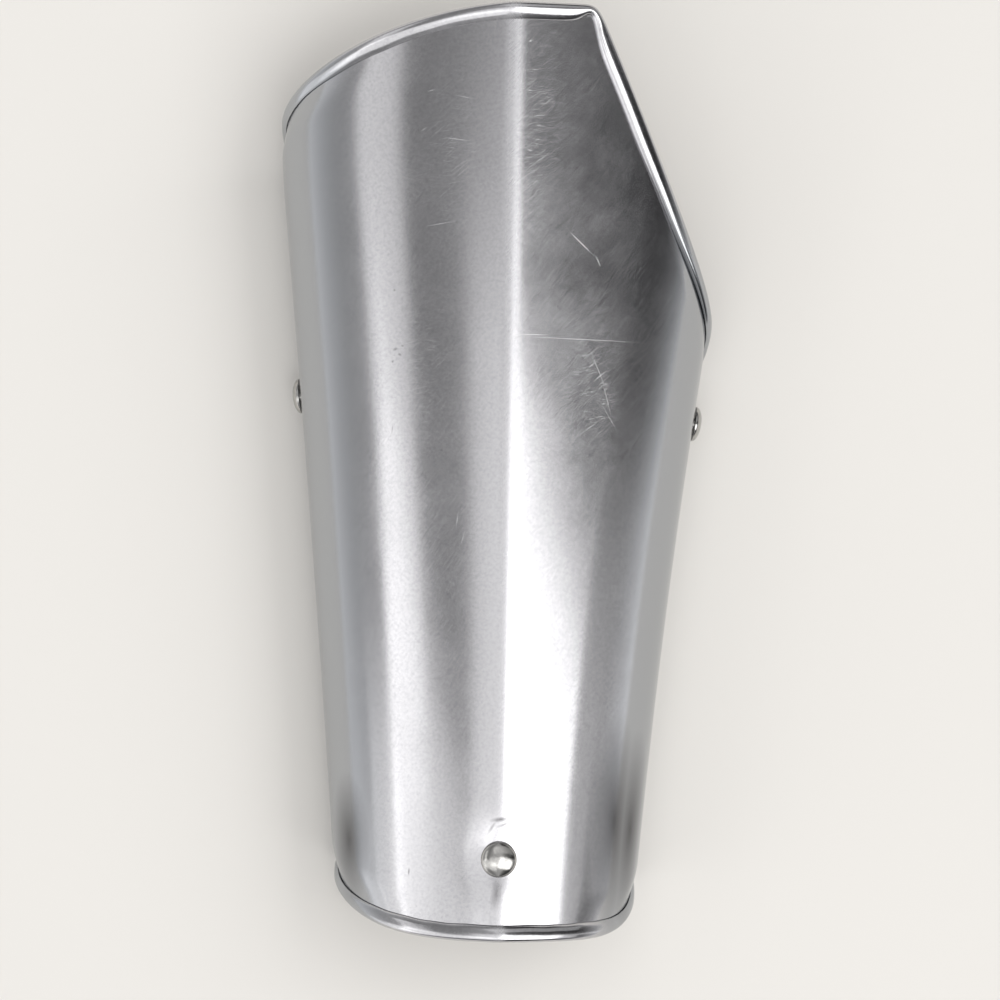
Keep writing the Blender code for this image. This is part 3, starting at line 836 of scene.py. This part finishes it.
@dataclass
class DomedRivet:
    """A domed head outside, a shank through sheet and leather, and a hammered tail inside."""

    form: ShellForm
    node: str
    side: Side
    girth: float
    station: float
    head_radius: float = 5.2 * MM
    head_height: float = 2.5 * MM
    rim_round: float = 0.25 * MM
    under: float = 1.15 * MM            # underside of the head over mid sheet
    shank_radius: float = 2.0 * MM
    tail: float = -4.5 * MM             # where the tail starts, under mid sheet
    tail_radius: float = 3.4 * MM
    tail_height: float = 1.2 * MM
    tail_round: float = 0.4 * MM
    steps: int = 64
    dome_steps: int = 20
    round_steps: int = 4

    def outline(self) -> list[tuple[float, float]]:
        """Half section from the top of the dome to the middle of the tail."""
        rim, soft, under = self.rim_round, self.tail_round, self.under
        reach, rise = self.head_radius - rim, self.head_height - rim
        points = []
        for index in range(self.dome_steps + 1):
            angle = math.pi / 2 * index / self.dome_steps
            points.append((reach * math.sin(angle) + rim * math.sin(angle),
                           under + rim + (rise - rim) * math.cos(angle) + rim * math.cos(angle)))
        quarter = [math.pi / 2 * index / self.round_steps for index in range(self.round_steps + 1)]
        for angle in quarter[1:]:
            points.append((reach + rim * math.cos(angle), under + rim * (1 - math.sin(angle))))
        points += [(self.shank_radius, under), (self.shank_radius, self.tail), (self.tail_radius, self.tail)]
        for angle in quarter:
            points.append((self.tail_radius - soft * (1 - math.cos(angle)),
                           self.tail - self.tail_height + soft * (1 - math.sin(angle))))
        return points + [(0.0, self.tail - self.tail_height)]

    def build(self, finish: Material) -> Object:
        """Turns the outline round the rivet's axis.

        Args:
            finish: the steel.

        Returns:
            The piece.
        """
        place = self.form.placed(self.form.point(self.side, self.girth, self.station))
        axis = self.form.normal(self.side, self.girth, self.station)
        turn = axis.to_track_quat("Z", "Y")
        shape = bmesh.new()
        corners = [shape.verts.new((reach, 0, height)) for reach, height in self.outline()]
        edges = [shape.edges.new(pair) for pair in zip(corners, corners[1:])]
        bmesh.ops.spin(shape, geom=corners + edges, cent=(0, 0, 0), axis=(0, 0, 1), dvec=(0, 0, 0),
                       angle=2 * math.pi, steps=self.steps, use_merge=True, use_duplicate=False)
        bmesh.ops.remove_doubles(shape, verts=shape.verts, dist=WELD)
        bmesh.ops.recalc_face_normals(shape, faces=shape.faces)
        bmesh.ops.transform(shape, matrix=Matrix.Translation(place) @ turn.to_matrix().to_4x4(),
                            verts=shape.verts)
        rivet = finished_object(self.node + "_dome", shape, finish)
        rivet.data.set_sharp_from_angle(angle=SHARP_STEEL)
        return rivet


# ---- Straps and buckles ----

def rounded_route(corners: Sequence[Vector], radius: float) -> list[Vector]:
    """Points along straight runs with a soft bend at each inner corner."""
    route = [corners[0]]
    for before, corner, after in zip(corners, corners[1:], corners[2:]):
        back, ahead = before - corner, after - corner
        start = corner + back.normalized() * min(radius, BEND_SHARE * back.length)
        end = corner + ahead.normalized() * min(radius, BEND_SHARE * ahead.length)
        for index in range(BEND_STEPS + 1):
            share = index / BEND_STEPS
            route.append(start * (1 - share) ** 2 + corner * 2 * share * (1 - share) + end * share ** 2)
    route.append(corners[-1])
    return route


@dataclass
class Strap:
    """A flat leather band, whose mid line is worked out at both of its edges."""

    form: ShellForm
    node: str
    station: float
    width: float = 16 * MM
    thickness: float = 2.4 * MM
    edge_round: float = 0.45 * MM
    across: int = 6
    wall_gap: float = 0.6 * MM + 0.3 * MM + 0.3 * MM    # half a sheet, and the play beside the leather
    wall_steps: int = 14
    above: float = 3 * MM               # girth from the widest line up to the strap's end at a side rivet
    below: float = 10 * MM              # and down to where it leaves the wall
    foot: float = 1 * MM                # how far in it meets the ground
    bend: float = 6.0 * MM
    stack_height: float = 10.8 * MM
    buckle_half: float = 9.0 * MM
    wire: float = 1.2 * MM
    play: float = 0.3 * MM
    climb: tuple = (16 * MM, 4 * MM)    # before the front bar, where the tongue starts up and is up
    descent: tuple = (1.5 * MM, 6.5 * MM)       # inside the bars, where it starts down and is down
    tip: float = 17 * MM                # past the heel bar
    fold_steps: int = 16
    fold_tail: float = 12 * MM

    def wall_run(self, side: Side, station: float, start: float, stop: float, steps: int) -> list[Vector]:
        """Mid line of leather that lies against the inside of the plate, between two girths."""
        depth = self.wall_gap + self.thickness / 2
        points = []
        for index in range(steps + 1):
            girth = blend(start, stop, index / steps)
            inwards = self.form.normal(side, girth, station) * depth
            points.append(self.form.point(side, girth, station) - inwards)
        return points

    def tongue_run(self, station: float) -> list[Vector]:
        """From the ground over the front bar, down through the frame, and along the ground to the tip."""
        floor, top, half = self.thickness / 2, self.stack_height - self.thickness / 2, self.buckle_half
        spots = ((-half - self.climb[0], floor), (-half - self.climb[1], top), (-half + self.descent[0], top),
                 (half - self.descent[1], floor), (half + self.tip, floor))
        return [Vector((x, station, z)) for x, z in spots]

    def chape_run(self, station: float) -> list[Vector]:
        """Round the heel bar and back under itself."""
        top = self.stack_height - self.thickness / 2
        radius = self.wire + self.play + self.thickness / 2
        centre = Vector((self.buckle_half, station, top - radius))
        points = []
        for index in range(self.fold_steps + 1):
            angle = math.pi / 2 + math.pi * index / self.fold_steps
            points.append(centre + Vector((math.cos(angle), 0, math.sin(angle))) * radius)
        return points + [centre + Vector((self.fold_tail, 0, -radius))]

    def elbow_wall(self, side: Side, station: float) -> list[Vector]:
        """From a side rivet down the wall, and in to the ground."""
        reach = self.form.widest_girth(side)
        wall = self.wall_run(side, station, reach - self.above, reach + self.below, self.wall_steps)
        return wall + [Vector((wall[-1].x - side.value * self.foot, station, self.thickness / 2))]

    def route(self, station: float) -> list[Vector]:
        """Mid line of the strap at one of its edges."""
        raise NotImplementedError

    def build(self, finish: Material) -> Object:
        """Builds the band with dressed edges.

        Args:
            finish: the leather.

        Returns:
            The piece.
        """
        lines = [self.route(self.station + self.width * share) for share in (-0.5, 0.5)]
        rows = len(lines[0]) - 1
        lengths = [0.0]
        for before, after in zip(lines[0], lines[0][1:]):
            lengths.append(lengths[-1] + (after - before).length)
        band = bmesh.new()
        bmesh.ops.create_grid(band, x_segments=self.across, y_segments=rows, size=0.5)
        flat = band.loops.layers.uv.new("unrolled")
        for vertex in band.verts:
            share, row = vertex.co.x + 0.5, round((vertex.co.y + 0.5) * rows)
            vertex.co = self.form.placed(lines[0][row].lerp(lines[1][row], share))
            for loop in vertex.link_loops:
                loop[flat].uv = (lengths[row], (share - 0.5) * self.width)
        strap = finished_object(self.node + "_leather", band, finish)
        thicken(strap, self.thickness, self.edge_round, SHARP_BEVEL)
        return strap


@dataclass
class ElbowTongue(Strap):
    """The strap end at the long side's rivet, with the free tip through the buckle."""

    def route(self, station: float) -> list[Vector]:
        """Mid line of the strap at one of its edges."""
        run = self.elbow_wall(Side.LONG, station)
        return run[:-2] + rounded_route(run[-2:] + self.tongue_run(station), self.bend)


@dataclass
class ElbowChape(Strap):
    """The strap end at the slanted side's rivet, folded round the buckle's heel bar."""

    ramp: tuple = (18 * MM, 6 * MM)     # past the fold's tail, where the strap starts up and is up

    def route(self, station: float) -> list[Vector]:
        """Mid line of the strap at one of its edges."""
        run, chape = self.elbow_wall(Side.SLANTED, station), self.chape_run(station)
        rise = Vector((chape[-1].x + self.ramp[0], station, self.thickness / 2))
        crest = Vector((chape[-1].x + self.ramp[1], station, chape[0].z))
        return run[:-2] + rounded_route(run[-2:] + [rise, crest, chape[0]], self.bend) + chape[1:]


@dataclass
class WristBand(Strap):
    """One band: from its tip through the buckle, up inside the plate, over the rivet and down again."""

    wall_steps: int = 36
    below: float = 6 * MM
    crown: float = 4 * MM               # girth to each side of the ridge that the band bridges
    foot: float = 3 * MM

    def route(self, station: float) -> list[Vector]:
        """Mid line of the strap at one of its edges."""
        form, steps, crown = self.form, self.wall_steps, self.crown
        left = self.wall_run(Side.LONG, station, form.widest_girth(Side.LONG) + self.below, crown, steps)
        right = self.wall_run(Side.SLANTED, station, crown, form.widest_girth(Side.SLANTED), steps)
        tail = list(reversed(self.tongue_run(station)))
        corner = Vector((left[0].x + self.foot, station, self.thickness / 2))
        chape = self.chape_run(station)
        turn = Vector((right[-1].x - self.foot, station, chape[0].z))
        start = rounded_route(tail + [corner, left[0]], self.bend)
        end = rounded_route([right[-1], turn, chape[0]], self.bend)
        crest = (left[-1] + right[0]) / 2
        return start + left[1:] + [crest] + right[:-1] + end + chape[1:]


@dataclass
class Buckle:
    """A wire frame with rounded corners, and its prong."""

    form: ShellForm
    node: str
    station: float
    half_length: float = 9.0 * MM
    half_width: float = 10.4 * MM
    height: float = 6.9 * MM
    wire: float = 1.2 * MM
    corner: float = 2.0 * MM
    prong_radius: float = 0.9 * MM
    roundness: int = 6                  # how finely the wire is rounded

    def rod(self, name: str, route: Sequence[Vector], radius: float, closed: bool) -> Mesh:
        """Mesh of a round rod along a route."""
        line = bpy.data.curves.new(name, "CURVE")
        line.dimensions = "3D"
        line.bevel_depth = radius
        line.bevel_resolution = self.roundness
        line.use_fill_caps = not closed
        spline = line.splines.new("POLY")
        spline.points.add(len(route) - 1)
        for point, place in zip(spline.points, route):
            point.co = (*place, 1.0)
        spline.use_cyclic_u = closed
        shape = bpy.data.objects.new(name, line)
        bpy.context.scene.collection.objects.link(shape)
        mesh = bpy.data.meshes.new_from_object(shape.evaluated_get(bpy.context.evaluated_depsgraph_get()))
        bpy.data.objects.remove(shape)
        return mesh

    def build(self, finish: Material) -> Object:
        """Builds the frame and prong as one piece.

        Args:
            finish: the steel.

        Returns:
            The piece.
        """
        middle = self.form.placed(Vector((0, self.station, self.height)))
        shares = ((0, -1), (1, -1), (1, 1), (-1, 1), (-1, -1), (0, -1))
        corners = [middle + Vector((x * self.half_length, y * self.half_width, 0)) for x, y in shares]
        both = bmesh.new()
        both.from_mesh(self.rod(self.node, rounded_route(corners, self.corner)[:-1], self.wire, True))
        bar = [middle + Vector((share * self.half_length, 0, 0)) for share in (-1, 1)]
        both.from_mesh(self.rod(self.node, bar, self.prong_radius, False))
        return finished_object(self.node + "_frame", both, finish)


# ---- The studio ----

@dataclass(frozen=True)
class Softbox:
    """One rectangular soft light far off: where it stands in the sky, its spread and its brightness."""

    name: str
    across: float           # degrees from the zenith towards +X
    along: float            # degrees from there towards +Y
    width: float            # degrees
    height: float           # degrees
    turn: float             # degrees, counter-clockwise seen from above
    radiance: float
    distance: float = 8.0
    mirrored: bool = True   # whether polished metal shows it

    def hang(self) -> None:
        """Adds the light."""
        side, rise = math.radians(self.across), math.radians(self.along)
        way = Vector((math.sin(side) * math.cos(rise), math.sin(rise), math.cos(side) * math.cos(rise)))
        right = Vector((math.cos(side), 0, -math.sin(side)))
        axes = Matrix((right, way.cross(right), way)).transposed()
        size = [2 * self.distance * math.tan(math.radians(spread) / 2)
                for spread in (self.width, self.height)]
        data = bpy.data.lights.new(self.name, "AREA")
        data.shape = "RECTANGLE"
        data.size, data.size_y = size
        data.energy = self.radiance * math.pi * size[0] * size[1]
        lamp = bpy.data.objects.new(self.name, data)
        lamp.matrix_world = Matrix.Translation(way * self.distance) @ (
            axes @ Matrix.Rotation(math.radians(self.turn), 3, "Z")).to_4x4()
        lamp.visible_glossy = self.mirrored
        bpy.context.scene.collection.objects.link(lamp)


@dataclass
class Studio:
    """Pale table, soft lights and the camera straight above."""

    camera_height: float = 1.2
    lens: float = 144.1
    aim: tuple = (0.0023, -0.0073)
    roll: float = math.radians(0.89)
    floor_colour: str = "e0ddd8"
    floor_size: float = 12.0
    floor_roughness: float = 0.85
    floor_gloss: float = 0.2
    blue_cast: float = 1.01             # of the room's light
    # Name, across, along, width, height, turn, radiance, and distance where it isn't the usual one.
    lights: tuple = (
        Softbox("key_softbox", 26, -21.6, 48, 34, -11, 2.6),
        Softbox("low_softbox", -35, -25.4, 50, 30, -20, 0.94),
        Softbox("low_wedge", -62, -25, 16, 32, 0, 0.75, 8.6),
        Softbox("left_panel", -77, -30, 16, 38, 0, 0.52),
        Softbox("ridge_panel", -10, -14.5, 36, 26, 0, 0.62, 8.6),
        Softbox("side_strip", -50.6, 8, 15, 38, 6, 0.64, 8.4),
        Softbox("key_wedge", 57, -23, 15, 24, 0, 0.60, 8.6),
        Softbox("right_band", 74, -9.4, 46, 3.8, 0, 0.66),
        Softbox("right_panel", 74, -29, 46, 36, 0, 0.09, 8.4),
        Softbox("far_wall", 25, 32, 80, 40, 0, 0.38),
        Softbox("table_fill", 48, 12, 40, 40, 0, 2.6, mirrored=False),
    )
    # Brightness of the room against the angle from the zenith, in degrees, positive towards +X.
    room: tuple = ((-90, 1.00), (-84, 0.82), (-76, 0.62), (-68, 0.46), (-56, 0.40), (-40, 0.25), (-30, 0.34),
                   (-22, 0.50), (-12, 0.58), (8, 0.56), (20, 0.22), (36, 0.08), (62, 0.03), (70, 0.08),
                   (77, 0.22), (84, 0.42), (90, 0.72))

    def camera(self) -> None:
        """Hangs the camera over the middle of the plate."""
        data = bpy.data.cameras.new("overhead_camera")
        data.lens = self.lens
        data.sensor_width = 36
        made = bpy.data.objects.new("overhead_camera", data)
        made.location = (*self.aim, self.camera_height)
        made.rotation_euler = (0, 0, self.roll)
        bpy.context.scene.collection.objects.link(made)
        bpy.context.scene.camera = made

    def floor(self) -> None:
        """Lays the table top."""
        top = bmesh.new()
        bmesh.ops.create_grid(top, x_segments=1, y_segments=1, size=self.floor_size)
        made = coat(new_material("pale_table"), self.floor_colour, self.floor_roughness)
        made.node_tree.nodes["Principled BSDF"].inputs["Specular IOR Level"].default_value = self.floor_gloss
        finished_object("table", top, made)

    def world(self) -> None:
        """Sets the room, which is darker on one side."""
        room = bpy.data.worlds.new("studio_room")
        room.use_nodes = True
        tree = room.node_tree
        parts = add_node(tree, "SeparateXYZ", links={0: add_node(tree, "TexCoord").outputs["Generated"]})
        angle = combined(tree, "ARCTAN2", parts.outputs["X"], parts.outputs["Z"])
        shades = add_node(tree, "ValToRGB", links={0: ranged(tree, angle, -math.pi / 2, math.pi / 2)})
        ramp = shades.color_ramp
        ramp.interpolation = "LINEAR"
        while len(ramp.elements) < len(self.room):
            ramp.elements.new(0.5)
        for stop, (place, level) in zip(ramp.elements, self.room):
            stop.position = (place + 90) / 180
            stop.color = (level, level, level * self.blue_cast, 1)
        tree.links.new(shades.outputs[0], tree.nodes["Background"].inputs["Color"])
        bpy.context.scene.world = room

    def build(self) -> None:
        """Sets up everything round the object."""
        bpy.context.scene.view_settings.view_transform = "Standard"
        self.camera()
        self.floor()
        self.world()
        for light in self.lights:
            light.hang()


def dress(piece: Object, node: str) -> None:
    """Hangs a piece on the frame in place of a node.

    Args:
        piece: the finished object.
        node: the CAD node that it replaces.
    """
    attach(piece, "root")
    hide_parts(node)
    LOG.info("%s: %d faces", piece.name, len(piece.data.polygons))


def main() -> None:
    """Builds each sub-assembly in order and hangs it on the frame."""
    logging.basicConfig(level=logging.INFO, format="%(name)s: %(message)s")
    low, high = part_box("wrist_rivet")
    middle = (low + high) / 2
    form = ShellForm(ridge_x=middle.x + RIVET_OFFSET - HEAD_LEAN[0],
                     wrist_y=middle.y - RIVET_STATION - HEAD_LEAN[1])
    Studio().build()
    steel, rivet_steel = PolishedMildSteel().build(), RIVET_STEEL.build()
    leather, buckle_steel = StrapLeather().build(), BUCKLE_STEEL.build()
    finishes = {"rivet": rivet_steel, "strap": leather, "buckle": buckle_steel, "plate": steel}
    for name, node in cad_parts.items():
        node.data.materials.clear()
        node.data.materials.append(finishes[name.split("_")[-1]])
    dress(Plate(form).build(steel), "plate")
    girths = {side: form.widest_girth(side) + SIDE_RIVET_DROP for side in Side}
    seats = (("wrist_rivet", Side.LONG, RIVET_OFFSET, RIVET_STATION),
             ("left_rivet", Side.LONG, girths[Side.LONG], LEFT_RIVET_STATION),
             ("right_rivet", Side.SLANTED, girths[Side.SLANTED], RIGHT_RIVET_STATION))
    for name, *seat in seats:
        dress(DomedRivet(form, name, *seat).build(rivet_steel), name)
    for strap in (ElbowTongue(form, "elbow_strap", ELBOW_STRAP_STATION),
                  ElbowChape(form, "elbow_buckle_strap", ELBOW_STRAP_STATION),
                  WristBand(form, "wrist_strap", RIVET_STATION)):
        dress(strap.build(leather), strap.node)
    for buckle in (Buckle(form, "elbow_buckle", ELBOW_STRAP_STATION),
                   Buckle(form, "wrist_buckle", RIVET_STATION)):
        dress(buckle.build(buckle_steel), buckle.node)


if __name__ == "__main__":
    main()
